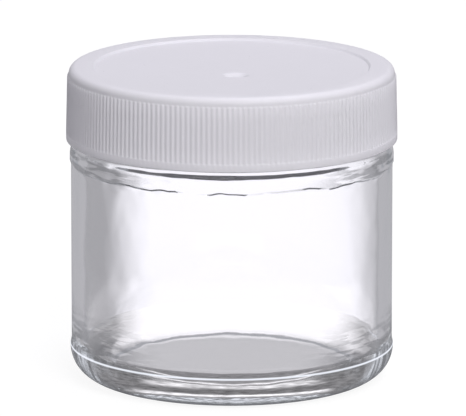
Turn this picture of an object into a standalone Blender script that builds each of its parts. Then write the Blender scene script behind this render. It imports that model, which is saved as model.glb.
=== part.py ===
"""Wide mouth glass jar with a ribbed white screw cap and a liner disc in the cap.

Metres, +Z up. The origin is the middle of the jar's foot, on the surface that it stands on.
Three pieces: the glass, the cap and the liner. Each is turned about the Z axis, which is also
the axis that the cap screws on. Radii are built up outwards from the thread of the neck.
"""

import math

import bmesh
import bpy

# Thread shared by the neck and the cap, a continuous thread of 53 mm with six turns to the inch
THREAD_DIAMETER = 0.0525
THREAD_DEPTH = 0.0012
THREAD_PITCH = 0.0042333
THREAD_CREST_WIDTH = 0.0009
THREAD_FLANK_SHARE = 0.6
THREAD_TURNS = 1.1
THREAD_RUNOUT_SHARE = 0.07
THREAD_START_DEPTH = 0.0025
THREAD_ROOT_BURIAL = 0.0004
THREAD_PHASE = math.radians(-35)

# Fits between the pieces
SEAT_GAP = 0.0003
THREAD_CREST_GAP = 0.00035
THREAD_FLANK_GAP = 0.0003
CAP_SHOULDER_GAP = 0.0004
LINER_SIDE_GAP = 0.00035

# Glass: neck and sealing lip
FINISH_HEIGHT = 0.0098
NECK_WALL = 0.0028
LIP_OUTER_ROUND = 0.0008
LIP_INNER_ROUND = 0.0007
NECK_ROOT_FILLET = 0.0004

# Glass: shoulder, label panel and heel
SHOULDER_HEIGHT = 0.0410
SHOULDER_STEP = 0.0026
SHOULDER_ROUND_WIDTH = 0.0012
SHOULDER_ROUND_HEIGHT = 0.0024
SHOULDER_BAND_HEIGHT = 0.0033
PANEL_RECESS = 0.0002
HEEL_LEDGE_HEIGHT = 0.0009
BAND_LEDGE_HEIGHT = 0.00036
BODY_WALL = 0.00225
INNER_SHOULDER_RISE = 0.0007
INNER_SHOULDER_DROP = 0.0021
HEEL_RADIUS = 0.00545
HEEL_BAND_HEIGHT = 0.00025
INNER_HEEL_RADIUS = 0.0042

# Glass: base
BEARING_RING_WIDTH = 0.0010
PUSH_UP_HEIGHT = 0.00035
PUSH_UP_SLOPE_WIDTH = 0.0010
BASE_THICKNESS = 0.0020

# Liner disc
LINER_THICKNESS = 0.0008

# Cap: skirt, top wall and panel
CAP_WALL = 0.00165
CAP_DRAFT = 0.00022
CAP_TOP_WALL = 0.0009
CAP_EDGE_CHAMFER = 0.00015
CAP_TOP_ROUND = 0.00125
CAP_RIM_WIDTH = 0.0029
PANEL_STEP_WIDTH = 0.0003
PANEL_STEP_DEPTH = 0.00035
PANEL_DISH_DEPTH = 0.0005
CAP_THREAD_RISE = 0.0011
CAP_RIDGE_CREST_WIDTH = 0.0005

# Cap: grip ribs
RIB_COUNT = 198
RIB_DEPTH = 0.00025
RIB_BAND_HEIGHT = 0.0012
RIB_END_LENGTH = 0.0003
RIB_TOP_LEDGE = 0.0002

# Cap: bead that holds the liner in
BEAD_DEPTH = 0.0006
BEAD_TOP_RISE = 0.00015
BEAD_LEAD_RISE = 0.00045

# Cap: shallow moulding gate mark on the panel
GATE_DIAMETER = 0.0048
GATE_DEPTH = 0.0005
GATE_OFFSET = 0.0041
GATE_OVERRUN = 0.0005

# Numbers of points round a turned ring, and along an arc
GLASS_POINTS = 64
CAP_OUTER_POINTS = 132
CAP_INNER_POINTS = 66
LINER_POINTS = 66
GATE_POINTS = 20
BIG_ARC_STEPS = 5
SMALL_ARC_STEPS = 2
SMOOTH_ANGLE = math.radians(35)

# Radii that follow from the sizes above
thread_radius = THREAD_DIAMETER / 2
neck_radius = thread_radius - THREAD_DEPTH
bore_radius = neck_radius - NECK_WALL
shoulder_radius = neck_radius + SHOULDER_STEP
panel_radius = shoulder_radius - PANEL_RECESS
cavity_radius = panel_radius - BODY_WALL
heel_flat_radius = shoulder_radius - HEEL_RADIUS
push_up_radius = heel_flat_radius - BEARING_RING_WIDTH
skirt_inner_radius = thread_radius + THREAD_CREST_GAP
skirt_outer_radius = skirt_inner_radius + CAP_WALL
rib_top_radius = skirt_outer_radius - CAP_DRAFT
liner_radius = skirt_inner_radius - LINER_SIDE_GAP

# Heights that follow from the sizes above
lip_height = SHOULDER_HEIGHT + FINISH_HEIGHT
liner_bottom = lip_height + SEAT_GAP
cap_bottom = SHOULDER_HEIGHT + CAP_SHOULDER_GAP
cap_ceiling = liner_bottom + LINER_THICKNESS + SEAT_GAP
panel_middle = cap_ceiling + CAP_TOP_WALL
panel_edge = panel_middle + PANEL_DISH_DEPTH
cap_crest = panel_edge + PANEL_STEP_DEPTH
floor_height = PUSH_UP_HEIGHT + BASE_THICKNESS
thread_top = lip_height - THREAD_START_DEPTH
thread_half_base = THREAD_CREST_WIDTH / 2 + THREAD_FLANK_SHARE * THREAD_DEPTH


def clear_scene():
    """Remove every object that the file starts with."""
    for old in list(bpy.data.objects):
        bpy.data.objects.remove(old, do_unlink=True)


# Outlines

def arc(centre, semi_radial, semi_vertical, start, end, steps):
    """Points (radius, height) along an arc of an ellipse, both ends included."""
    points = []
    for step in range(steps + 1):
        angle = math.radians(start + (end - start) * step / steps)
        radius = centre[0] + semi_radial * math.cos(angle)
        height = centre[1] + semi_vertical * math.sin(angle)
        points.append((radius, height))
    return points


def s_curve(start, end, steps):
    """Points of a smooth S between two points, upright at both ends, the start left out."""
    points = []
    for step in range(1, steps + 1):
        share = step / steps
        eased_share = (1 - math.cos(math.pi * share)) / 2
        radius = start[0] + (end[0] - start[0]) * eased_share
        height = start[1] + (end[1] - start[1]) * share
        points.append((radius, height))
    return points


def bowl(rim_radius, rim_height, depth, steps):
    """Points of a shallow round bowl from its rim to the axis, the rim left out."""
    points = []
    for step in range(1, steps + 1):
        share = 1 - step / steps
        points.append((rim_radius * share, rim_height - depth * (1 - share ** 2)))
    return points


# Meshes

def add_ring(bm, radii, height, count):
    """Add one ring of points about the Z axis; the radii repeat round it. On the axis it is one point."""
    if max(radii) == 0:
        return [bm.verts.new((0, 0, height))]
    ring = []
    for index in range(count):
        angle = math.tau * index / count
        radius = radii[index % len(radii)]
        ring.append(bm.verts.new((radius * math.cos(angle), radius * math.sin(angle), height)))
    return ring


def join_rings(bm, first, second):
    """Fill the band between two rings, which may have unlike numbers of points."""
    if len(first) == 1:
        first, second = second, first
    first_size = len(first)
    second_size = len(second)
    if second_size == 1:
        for index in range(first_size):
            bm.faces.new((first[index], first[(index + 1) % first_size], second[0]))
        return
    i = 0
    j = 0
    while i < first_size or j < second_size:
        first_next = (i + 1) * second_size
        second_next = (j + 1) * first_size
        near = first[i % first_size]
        far = second[j % second_size]
        if first_next == second_next:
            bm.faces.new((near, first[(i + 1) % first_size], second[(j + 1) % second_size], far))
            i += 1
            j += 1
        elif first_next < second_next:
            bm.faces.new((near, first[(i + 1) % first_size], far))
            i += 1
        else:
            bm.faces.new((near, second[(j + 1) % second_size], far))
            j += 1


def finish_mesh(bm, name):
    """Point the faces outwards, shade the rounds smooth and return the mesh."""
    bmesh.ops.recalc_face_normals(bm, faces=bm.faces)
    mesh = bpy.data.meshes.new(name)
    bm.to_mesh(mesh)
    bm.free()
    mesh.shade_smooth()
    mesh.set_sharp_from_angle(angle=SMOOTH_ANGLE)
    return mesh


def turned_mesh(name, rings):
    """Turn a list of (radii, height, count) into a mesh. Its first and last ring lie on the axis."""
    bm = bmesh.new()
    previous = None
    for radii, height, count in rings:
        ring = add_ring(bm, radii, height, count)
        if previous:
            join_rings(bm, previous, ring)
        previous = ring
    return finish_mesh(bm, name)


def plain_rings(points, count, base=0):
    """Rings for turned_mesh from outline points, with heights measured from base."""
    return [((radius,), height - base, count) for radius, height in points]


def helix_mesh(name, section, low_height, high_height, base=0):
    """Sweep a thread ridge along the shared helix.

    section holds (radius, height) points about the helix height: root, crest, crest, root. At each
    end the ridge runs out into the wall that carries it, until its crest is buried there.
    """
    bm = bmesh.new()
    turns = (high_height - low_height) / THREAD_PITCH
    steps = max(round(turns * GLASS_POINTS), 2)
    middle = sum(height for radius, height in section) / len(section)
    root = section[0][0]
    buried_share = THREAD_ROOT_BURIAL / 2 / abs(section[1][0] - root)
    previous = None
    for step in range(steps + 1):
        share = step / steps
        height = low_height + (high_height - low_height) * share
        angle = THREAD_PHASE + math.tau * (height - thread_top) / THREAD_PITCH
        end_share = min(share, 1 - share) * turns / THREAD_RUNOUT_SHARE
        full_share = buried_share + (1 - buried_share) * math.sin(min(end_share, 1) * math.pi / 2)
        ring = []
        for radius, rise in section:
            point_radius = root + (radius - root) * full_share
            point_rise = middle + (rise - middle) * (1 + full_share) / 2
            x = point_radius * math.cos(angle)
            y = point_radius * math.sin(angle)
            ring.append(bm.verts.new((x, y, height + point_rise - base)))
        if previous:
            join_rings(bm, previous, ring)
        else:
            bm.faces.new(ring)
        previous = ring
    bm.faces.new(previous)
    return finish_mesh(bm, name)


# Objects

def add_piece(name, mesh, height=0, material=None):
    """Add a named object on the Z axis at a height, with its material."""
    piece = bpy.data.objects.new(name, mesh)
    piece.location.z = height
    if material:
        mesh.materials.append(material)
    bpy.context.scene.collection.objects.link(piece)
    return piece


def combine(piece, tool, operation):
    """Unite a helper object with a piece, or cut it out, and keep the helper out of sight."""
    tool.hide_render = True
    tool.display_type = "WIRE"
    boolean = piece.modifiers.new(tool.name, "BOOLEAN")
    boolean.object = tool
    boolean.operation = operation
    boolean.solver = "EXACT"


# Materials

def add_material(name, colour, roughness):
    """A non-metal Principled material of one colour."""
    material = bpy.data.materials.new(name)
    material.use_nodes = True
    shader = material.node_tree.nodes["Principled BSDF"]
    shader.inputs["Base Color"].default_value = (*colour, 1)
    shader.inputs["Roughness"].default_value = roughness
    shader.inputs["Metallic"].default_value = 0
    material.diffuse_color = (*colour, 1)
    return material


def clear_glass():
    """Colourless flint glass."""
    material = add_material("clear_glass", (0.93, 0.95, 0.96), 0.03)
    shader = material.node_tree.nodes["Principled BSDF"]
    shader.inputs["Transmission Weight"].default_value = 1
    shader.inputs["IOR"].default_value = 1.52
    return material


def white_plastic():
    """White polypropylene of the cap."""
    return add_material("white_plastic", (0.76, 0.76, 0.79), 0.38)


def liner_foam():
    """White foamed polyethylene of the liner."""
    return add_material("liner_foam", (0.85, 0.85, 0.84), 0.7)


# Glass jar

def glass_outline():
    """Outline of the glass from the middle of its foot, up the outside and down the inside."""
    heel_top = HEEL_RADIUS + HEEL_BAND_HEIGHT
    band_bottom = SHOULDER_HEIGHT - SHOULDER_BAND_HEIGHT
    round_start = SHOULDER_HEIGHT - SHOULDER_ROUND_HEIGHT
    points = [(0, PUSH_UP_HEIGHT), (push_up_radius - PUSH_UP_SLOPE_WIDTH, PUSH_UP_HEIGHT)]
    points.append((push_up_radius, 0))
    points += arc((heel_flat_radius, HEEL_RADIUS), HEEL_RADIUS, HEEL_RADIUS, -90, 0, BIG_ARC_STEPS)
    points.append((shoulder_radius, heel_top))
    points.append((panel_radius, heel_top + HEEL_LEDGE_HEIGHT))
    points.append((panel_radius, band_bottom - BAND_LEDGE_HEIGHT))
    points.append((shoulder_radius, band_bottom))
    round_centre = (shoulder_radius - SHOULDER_ROUND_WIDTH, round_start)
    points += arc(round_centre, SHOULDER_ROUND_WIDTH, SHOULDER_ROUND_HEIGHT, 0, 90, BIG_ARC_STEPS)
    fillet_centre = (neck_radius + NECK_ROOT_FILLET, SHOULDER_HEIGHT + NECK_ROOT_FILLET)
    points += arc(fillet_centre, NECK_ROOT_FILLET, NECK_ROOT_FILLET, 270, 180, SMALL_ARC_STEPS)
    outer_centre = (neck_radius - LIP_OUTER_ROUND, lip_height - LIP_OUTER_ROUND)
    points += arc(outer_centre, LIP_OUTER_ROUND, LIP_OUTER_ROUND, 0, 90, SMALL_ARC_STEPS)
    inner_centre = (bore_radius + LIP_INNER_ROUND, lip_height - LIP_INNER_ROUND)
    points += arc(inner_centre, LIP_INNER_ROUND, LIP_INNER_ROUND, 90, 180, SMALL_ARC_STEPS)
    bore_end = (bore_radius, SHOULDER_HEIGHT + INNER_SHOULDER_RISE)
    points.append(bore_end)
    cavity_top = (cavity_radius, SHOULDER_HEIGHT - INNER_SHOULDER_DROP)
    points += s_curve(bore_end, cavity_top, BIG_ARC_STEPS)
    corner_centre = (cavity_radius - INNER_HEEL_RADIUS, floor_height + INNER_HEEL_RADIUS)
    points += arc(corner_centre, INNER_HEEL_RADIUS, INNER_HEEL_RADIUS, 0, -90, BIG_ARC_STEPS)
    points.append((0, floor_height))
    return points


def neck_ridge():
    """Thread ridge on the neck, with its root buried in the glass."""
    half_crest = THREAD_CREST_WIDTH / 2
    half_root = thread_half_base + THREAD_FLANK_SHARE * THREAD_ROOT_BURIAL
    root = neck_radius - THREAD_ROOT_BURIAL
    section = [(root, -half_root), (thread_radius, -half_crest)]
    section += [(thread_radius, half_crest), (root, half_root)]
    return helix_mesh("neck_thread", section, thread_top - THREAD_TURNS * THREAD_PITCH, thread_top)


def make_glass_jar():
    """The glass: foot, walls, shoulder and threaded neck in one piece."""
    rings = plain_rings(glass_outline(), GLASS_POINTS)
    jar = add_piece("glass_jar", turned_mesh("glass_jar", rings), 0, clear_glass())
    combine(jar, add_piece("neck_thread", neck_ridge()), "UNION")


# Liner

def make_liner():
    """Foam disc that the cap presses on the lip."""
    outline = [(0, 0), (liner_radius, 0), (liner_radius, LINER_THICKNESS), (0, LINER_THICKNESS)]
    rings = plain_rings(outline, LINER_POINTS)
    add_piece("cap_liner", turned_mesh("cap_liner", rings), liner_bottom, liner_foam())


# Screw cap

def cap_top_outline():
    """Outline of the cap's top from its middle to the edge of its rim."""
    rim_outer = rib_top_radius - RIB_DEPTH - CAP_TOP_ROUND
    rim_inner = rim_outer - CAP_RIM_WIDTH
    panel_rim = rim_inner - PANEL_STEP_WIDTH
    points = bowl(panel_rim, panel_edge, PANEL_DISH_DEPTH, SMALL_ARC_STEPS + 1)[::-1]
    points.append((panel_rim, panel_edge))
    points.append((rim_inner, cap_crest))
    return points


def cap_side_rings():
    """Rings of the cap's outside, from the rounded rim down over the ribs to the lower edge."""
    smooth_radius = rib_top_radius - RIB_DEPTH
    round_centre = (smooth_radius - CAP_TOP_ROUND, cap_crest - CAP_TOP_ROUND)
    round_points = arc(round_centre, CAP_TOP_ROUND, CAP_TOP_ROUND, 90, 0, BIG_ARC_STEPS - 1)
    rings = plain_rings(round_points, CAP_OUTER_POINTS)
    rib_start = round_centre[1] - RIB_TOP_LEDGE
    rib_full = rib_start - RIB_END_LENGTH
    band_top = cap_bottom + RIB_BAND_HEIGHT
    rings.append(((smooth_radius,), rib_start, CAP_OUTER_POINTS))
    rings.append(((rib_top_radius, smooth_radius), rib_full, 2 * RIB_COUNT))
    low_radii = (skirt_outer_radius, skirt_outer_radius - RIB_DEPTH)
    rings.append((low_radii, band_top + RIB_END_LENGTH, 2 * RIB_COUNT))
    rings.append(((skirt_outer_radius,), band_top, CAP_OUTER_POINTS))
    rings.append(((skirt_outer_radius,), cap_bottom + CAP_EDGE_CHAMFER, CAP_OUTER_POINTS))
    rings.append(((skirt_outer_radius - CAP_EDGE_CHAMFER,), cap_bottom, CAP_OUTER_POINTS))
    return rings


def cap_inner_outline():
    """Outline of the cap's inside, from the lower edge up past the bead to the middle of its ceiling."""
    bead_top = liner_bottom - SEAT_GAP
    bead_crest = bead_top - BEAD_TOP_RISE
    bead_foot = bead_crest - BEAD_LEAD_RISE
    return [
        (skirt_inner_radius + CAP_EDGE_CHAMFER, cap_bottom),
        (skirt_inner_radius, cap_bottom + CAP_EDGE_CHAMFER),
        (skirt_inner_radius, bead_foot),
        (skirt_inner_radius - BEAD_DEPTH, bead_crest),
        (skirt_inner_radius, bead_top),
        (skirt_inner_radius, cap_ceiling),
        (0, cap_ceiling),
    ]


def cap_rings():
    """All rings of the cap, with heights measured from its lower edge."""
    side = [(radii, height - cap_bottom, count) for radii, height, count in cap_side_rings()]
    top = plain_rings(cap_top_outline(), CAP_INNER_POINTS, cap_bottom)
    inner = plain_rings(cap_inner_outline(), CAP_INNER_POINTS, cap_bottom)
    return top + side + inner


def cap_ridge():
    """Thread ridge in the cap. Its upper flank bears on the lower flank of the neck's ridge."""
    crest = neck_radius + THREAD_CREST_GAP
    root = skirt_inner_radius + THREAD_ROOT_BURIAL
    flank_drop = THREAD_FLANK_GAP * math.hypot(1, THREAD_FLANK_SHARE)
    crest_top = THREAD_FLANK_SHARE * THREAD_CREST_GAP - thread_half_base - flank_drop
    crest_foot = crest_top - CAP_RIDGE_CREST_WIDTH
    flank_rise = THREAD_FLANK_SHARE * (root - crest)
    root_foot = crest_foot - flank_rise
    section = [(root, root_foot), (crest, crest_foot), (crest, crest_top), (root, crest_top + flank_rise)]
    low = cap_bottom + CAP_THREAD_RISE - root_foot
    return helix_mesh("cap_thread", section, low, low + THREAD_TURNS * THREAD_PITCH, cap_bottom)


def gate_cutter():
    """Shallow round bowl, closed above the panel, that cuts the moulding gate mark."""
    radius = GATE_DIAMETER / 2
    outline = [(0, GATE_OVERRUN), (radius, GATE_OVERRUN), (radius, 0)]
    outline += bowl(radius, 0, GATE_DEPTH, SMALL_ARC_STEPS)
    return turned_mesh("gate_mark", plain_rings(outline, GATE_POINTS))


def make_screw_cap():
    """The cap: ribbed skirt, inner thread, liner bead and dished top panel."""
    cap = add_piece("screw_cap", turned_mesh("screw_cap", cap_rings()), cap_bottom, white_plastic())
    combine(cap, add_piece("cap_thread", cap_ridge(), cap_bottom), "UNION")
    gate = add_piece("gate_mark", gate_cutter(), panel_middle)
    gate.location.y = -GATE_OFFSET
    combine(cap, gate, "DIFFERENCE")


clear_scene()
make_glass_jar()
make_liner()
make_screw_cap()
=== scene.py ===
"""Looks of a wide mouth glass jar with a ribbed white screw cap and a foam liner.

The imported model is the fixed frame. Each of its three nodes is replaced by a finer mesh of the same
size: an outline in radius and height, turned about the Z axis by one geometry node tree, which also
raises the thread, presses in the grip ribs and the gate mark, and lays the faint waves of moulded
glass. Lengths are in metres unless a name says otherwise.
"""
import logging
import math
from dataclasses import dataclass, field, fields, replace
from enum import Enum
from typing import Union

import bmesh
import bpy
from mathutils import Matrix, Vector


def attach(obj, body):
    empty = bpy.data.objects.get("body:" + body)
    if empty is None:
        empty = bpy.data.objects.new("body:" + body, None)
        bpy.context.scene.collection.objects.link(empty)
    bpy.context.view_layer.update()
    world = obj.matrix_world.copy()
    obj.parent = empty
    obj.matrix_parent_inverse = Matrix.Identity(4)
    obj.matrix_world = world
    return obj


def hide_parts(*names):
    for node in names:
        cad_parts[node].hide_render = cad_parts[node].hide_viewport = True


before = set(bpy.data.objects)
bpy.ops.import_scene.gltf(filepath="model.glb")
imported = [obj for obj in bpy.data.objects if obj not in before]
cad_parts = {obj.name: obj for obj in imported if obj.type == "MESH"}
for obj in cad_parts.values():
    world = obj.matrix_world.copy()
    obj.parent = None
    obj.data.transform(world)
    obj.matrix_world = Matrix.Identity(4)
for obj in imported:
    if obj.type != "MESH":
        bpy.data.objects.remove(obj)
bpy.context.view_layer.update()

LOG = logging.getLogger("glass_jar")
MM = 0.001

# Longest step of the arc that rounds a corner, and the fewest steps it has
ARC_STEP = math.radians(20)
FEWEST_ARC_STEPS = 3
# How far noise usually goes to either side of 0.5
NOISE_REACH = 0.25

Tree = bpy.types.NodeTree
Socket = bpy.types.NodeSocket
Node = bpy.types.Node
Material = bpy.types.Material
Colour = tuple[float, float, float]
Point = tuple[float, float]


class Part(Enum):
    """The three pieces, as (frame node, body that it rides on, material slot)."""

    GLASS = ("glass_jar", "jar", "clear_glass")
    LINER = ("cap_liner", "liner", "liner_foam")
    CAP = ("screw_cap", "cap", "white_plastic")


# Maths inside node trees

@dataclass(frozen=True)
class Term:
    """A number inside a node tree, so that the tree's maths can be written as maths.

    Args:
        tree: The node tree that holds the number.
        socket: The output socket that gives it.
    """

    tree: Tree
    socket: Socket

    def maths(self, operation: str, *others: "Operand") -> "Term":
        """Add a Math node that starts with this number.

        Args:
            operation: Blender's name of the operation.
            others: The further operands, terms or plain numbers.

        Returns:
            The result as a term.
        """
        return maths(self.tree, operation, self, *others)

    def __add__(self, other: "Operand") -> "Term":
        """Sum."""
        return self.maths("ADD", other)

    def __sub__(self, other: "Operand") -> "Term":
        """Difference."""
        return self.maths("SUBTRACT", other)

    def __rsub__(self, other: float) -> "Term":
        """Difference from a plain number."""
        return maths(self.tree, "SUBTRACT", other, self)

    def __mul__(self, other: "Operand") -> "Term":
        """Product."""
        return self.maths("MULTIPLY", other)

    def __truediv__(self, other: "Operand") -> "Term":
        """Quotient."""
        return self.maths("DIVIDE", other)

    def held(self) -> "Term":
        """The number held between 0 and 1."""
        return self.maths("MAXIMUM", 0).maths("MINIMUM", 1)

    def step(self, start: "Operand", end: "Operand") -> "Term":
        """A smooth step.

        Args:
            start: Where it is 0.
            end: Where it is 1; this may lie below start.

        Returns:
            The step as a term.
        """
        share = ((self - start) / (end - start)).held()
        return share * share * (3 - share * 2)


Operand = Union[Term, float]


def maths(tree: Tree, operation: str, *values: Operand) -> Term:
    """Add a Math node.

    Args:
        tree: The node tree.
        operation: Blender's name of the operation.
        values: The operands.

    Returns:
        The result as a term.
    """
    node = tree.nodes.new("ShaderNodeMath")
    node.operation = operation
    for socket, value in zip(node.inputs, values):
        feed(tree, socket, value)
    return Term(tree, node.outputs[0])


def feed(tree: Tree, socket: Socket, value: object) -> None:
    """Link something to an input socket, or set a plain value on it.

    Args:
        tree: The node tree.
        socket: The input socket.
        value: A term, an output socket or a plain value.
    """
    if isinstance(value, Term):
        value = value.socket
    if isinstance(value, Socket):
        tree.links.new(value, socket)
    else:
        socket.default_value = value


def add_node(tree: Tree, kind: str, **values: object) -> Node:
    """Add a node and set its inputs.

    Args:
        tree: The node tree.
        kind: Blender's name of the node type.
        values: Inputs by name, with _ for a space.

    Returns:
        The node.
    """
    node = tree.nodes.new(kind)
    for name, value in values.items():
        feed(tree, node.inputs[name.replace("_", " ")], value)
    return node


def emission(tree: Tree, colour: Colour, strength: Operand) -> Node:
    """A shader that glows in a colour."""
    return add_node(tree, "ShaderNodeEmission", Color=(*colour, 1), Strength=strength)


def noise(tree: Tree, place: Socket, size: float, detail: float) -> Term:
    """Noise with cells of a size, from 0 to 1."""
    node = add_node(tree, "ShaderNodeTexNoise", Vector=place, Scale=1 / size, Detail=detail)
    return Term(tree, node.outputs[0])


def about(middle: float, spread: float, noise_term: Term) -> Term:
    """Noise brought to a middle and a usual spread to either side of it."""
    return (noise_term - 0.5) * (spread / NOISE_REACH) + middle


def seen_in_glass(tree: Tree, path: Node) -> Term:
    """1 for a ray that glass or gloss sends on, else 0."""
    glossy = Term(tree, path.outputs["Is Glossy Ray"])
    return glossy.maths("MAXIMUM", Term(tree, path.outputs["Is Transmission Ray"]))


def split(tree: Tree, vector: Socket) -> list[Term]:
    """The three parts of a vector."""
    node = add_node(tree, "ShaderNodeSeparateXYZ", Vector=vector)
    return [Term(tree, output) for output in node.outputs]


def graded(tree: Tree, value: Term, levels: tuple[Point, ...], tint: Colour) -> Socket:
    """A colour whose brightness follows a value.

    Args:
        tree: The node tree.
        value: The value.
        levels: Pairs of value and brightness in rising order, with straight lines between them.
        tint: Colour of full brightness.

    Returns:
        The socket with the colour.
    """
    start, end = levels[0][0], levels[-1][0]
    node = add_node(tree, "ShaderNodeValToRGB", Fac=(value - start) / (end - start))
    elements = node.color_ramp.elements
    while len(elements) < len(levels):
        elements.new(1)
    for element, (place, level) in zip(elements, levels):
        element.position = (place - start) / (end - start)
        element.color = (*(level * part for part in tint), 1)
    return node.outputs["Color"]


def mix_shaders(tree: Tree, share: object, first: Node, second: Node) -> Node:
    """Mix two shaders.

    Args:
        tree: The node tree.
        share: Share of the second shader, a term, socket or number.
        first: Node of the first shader.
        second: Node of the second shader.

    Returns:
        The mixing node.
    """
    node = tree.nodes.new("ShaderNodeMixShader")
    feed(tree, node.inputs[0], share)
    tree.links.new(first.outputs[0], node.inputs[1])
    tree.links.new(second.outputs[0], node.inputs[2])
    return node


# Outlines

@dataclass(frozen=True)
class Corner:
    """A corner of an outline.

    Args:
        radius: Distance from the axis.
        height: Height above the foot.
        rounding: Radius of the arc that rounds it.
        spacing: Longest stretch between two points on the way to it.
        ribs: Share of the grip ribs' depth here.
        thread: Share of the thread ridge's height here.
        knurls: Share of the depth of the knurls under the foot here.
        waves: Share of the height of the waves in the glass here.
        ripples: Share of the height of the ripples in the glass here.
        wobbles: Share of the ledge's wobble up and down here.
        panel: 1 on the cap's panel, which has the gate mark, else 0.
    """

    radius: float
    height: float
    rounding: float = 0.0
    spacing: float = math.inf
    ribs: float = 0.0
    thread: float = 0.0
    knurls: float = 0.0
    waves: float = 0.0
    ripples: float = 0.0
    wobbles: float = 0.0
    panel: float = 0.0

    @property
    def place(self) -> Vector:
        """Radius and height as a vector."""
        return Vector((self.radius, self.height))


# Fields of a corner that the outline's mesh holds as attributes
SHARES = ("ribs", "thread", "knurls", "waves", "ripples", "wobbles", "panel")


def arc(centre: Point, radial: float, vertical: float, start: float, end: float, steps: int,
        **settings: float) -> list[Corner]:
    """Corners along an arc of an ellipse.

    Args:
        centre: Radius and height of its middle.
        radial: Half width in radius.
        vertical: Half width in height.
        start: First angle in degrees, from the outward direction upwards.
        end: Last angle in degrees.
        steps: Number of stretches.
        settings: Fields of every corner.

    Returns:
        The corners, both ends included.
    """
    corners = []
    for step in range(steps + 1):
        angle = math.radians(start + (end - start) * step / steps)
        radius = centre[0] + radial * math.cos(angle)
        corners.append(Corner(radius, centre[1] + vertical * math.sin(angle), **settings))
    return corners


def s_curve(start: Point, end: Point, steps: int, **settings: float) -> list[Corner]:
    """Corners of a smooth S that is upright at both ends.

    Args:
        start: Radius and height of its start.
        end: Radius and height of its end.
        steps: Number of stretches.
        settings: Fields of every corner.

    Returns:
        The corners, both ends included.
    """
    corners = []
    for step in range(steps + 1):
        share = step / steps
        eased = (1 - math.cos(math.pi * share)) / 2
        radius = start[0] + (end[0] - start[0]) * eased
        corners.append(Corner(radius, start[1] + (end[1] - start[1]) * share, **settings))
    return corners


def bowl(radii: list[float], middle: float, rim: float, **settings: float) -> list[Corner]:
    """Corners of a round bowl or dome, from its middle to its rim.

    Args:
        radii: Their distances from the axis, the last one the rim's.
        middle: Height in the middle.
        rim: Height at the rim.
        settings: Fields of every corner.

    Returns:
        The corners.
    """
    corners = []
    for radius in radii:
        height = middle + (rim - middle) * (radius / radii[-1]) ** 2
        corners.append(Corner(radius, height, **settings))
    return corners


def spread(start: float, end: float, spacing: float) -> list[float]:
    """Evenly spaced numbers from start to end, the start left out."""
    steps = max(math.ceil(abs(end - start) / spacing), 1)
    return [start + (end - start) * step / steps for step in range(1, steps + 1)]


def rounded(before: Corner, corner: Corner, after: Corner) -> list[Corner]:
    """Round a corner with an arc.

    Args:
        before: The corner before it.
        corner: The corner.
        after: The corner after it.

    Returns:
        The corners of the arc.
    """
    back = (before.place - corner.place).normalized()
    ahead = (after.place - corner.place).normalized()
    half = back.angle(ahead) / 2
    centre = corner.place + (back + ahead).normalized() * corner.rounding / math.sin(half)
    arm = corner.place + back * corner.rounding / math.tan(half) - centre
    turn = math.pi - 2 * half
    if back.cross(ahead) > 0:
        turn = -turn
    steps = max(math.ceil(abs(turn) / ARC_STEP), FEWEST_ARC_STEPS)
    result = []
    for step in range(steps + 1):
        cosine = math.cos(turn * step / steps)
        sine = math.sin(turn * step / steps)
        radius = centre.x + arm.x * cosine - arm.y * sine
        height = centre.y + arm.x * sine + arm.y * cosine
        spacing = math.inf if step else corner.spacing
        result.append(replace(corner, radius=radius, height=height, spacing=spacing))
    return result


def traced(corners: list[Corner]) -> list[Corner]:
    """Round the corners of an outline and add points on its long stretches.

    Args:
        corners: The corners in order.

    Returns:
        The points of the fine outline.
    """
    smooth = [corners[0]]
    for before, corner, after in zip(corners, corners[1:], corners[2:]):
        smooth += rounded(before, corner, after) if corner.rounding else [corner]
    smooth.append(corners[-1])
    fine = [smooth[0]]
    for start, end in zip(smooth, smooth[1:]):
        steps = max(math.ceil((end.place - start.place).length / end.spacing), 1)
        for step in range(1, steps + 1):
            share = step / steps
            values = {
                name: getattr(start, name) * (1 - share) + getattr(end, name) * share
                for name in ("radius", "height", *SHARES)
            }
            fine.append(replace(end, **values))
    return fine


def outline_mesh(name: str, corners: list[Corner]) -> bpy.types.Mesh:
    """A mesh of loose points that holds an outline and its shares.

    Args:
        name: Name of the mesh.
        corners: The points of the outline.

    Returns:
        The mesh.
    """
    mesh = bpy.data.meshes.new(name)
    mesh.from_pydata([(corner.radius, 0, corner.height) for corner in corners], [], [])
    for share in SHARES:
        attribute = mesh.attributes.new(share, "FLOAT", "POINT")
        for index, corner in enumerate(corners):
            attribute.data[index].value = getattr(corner, share)
    return mesh


# Turning an outline into a surface

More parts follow.
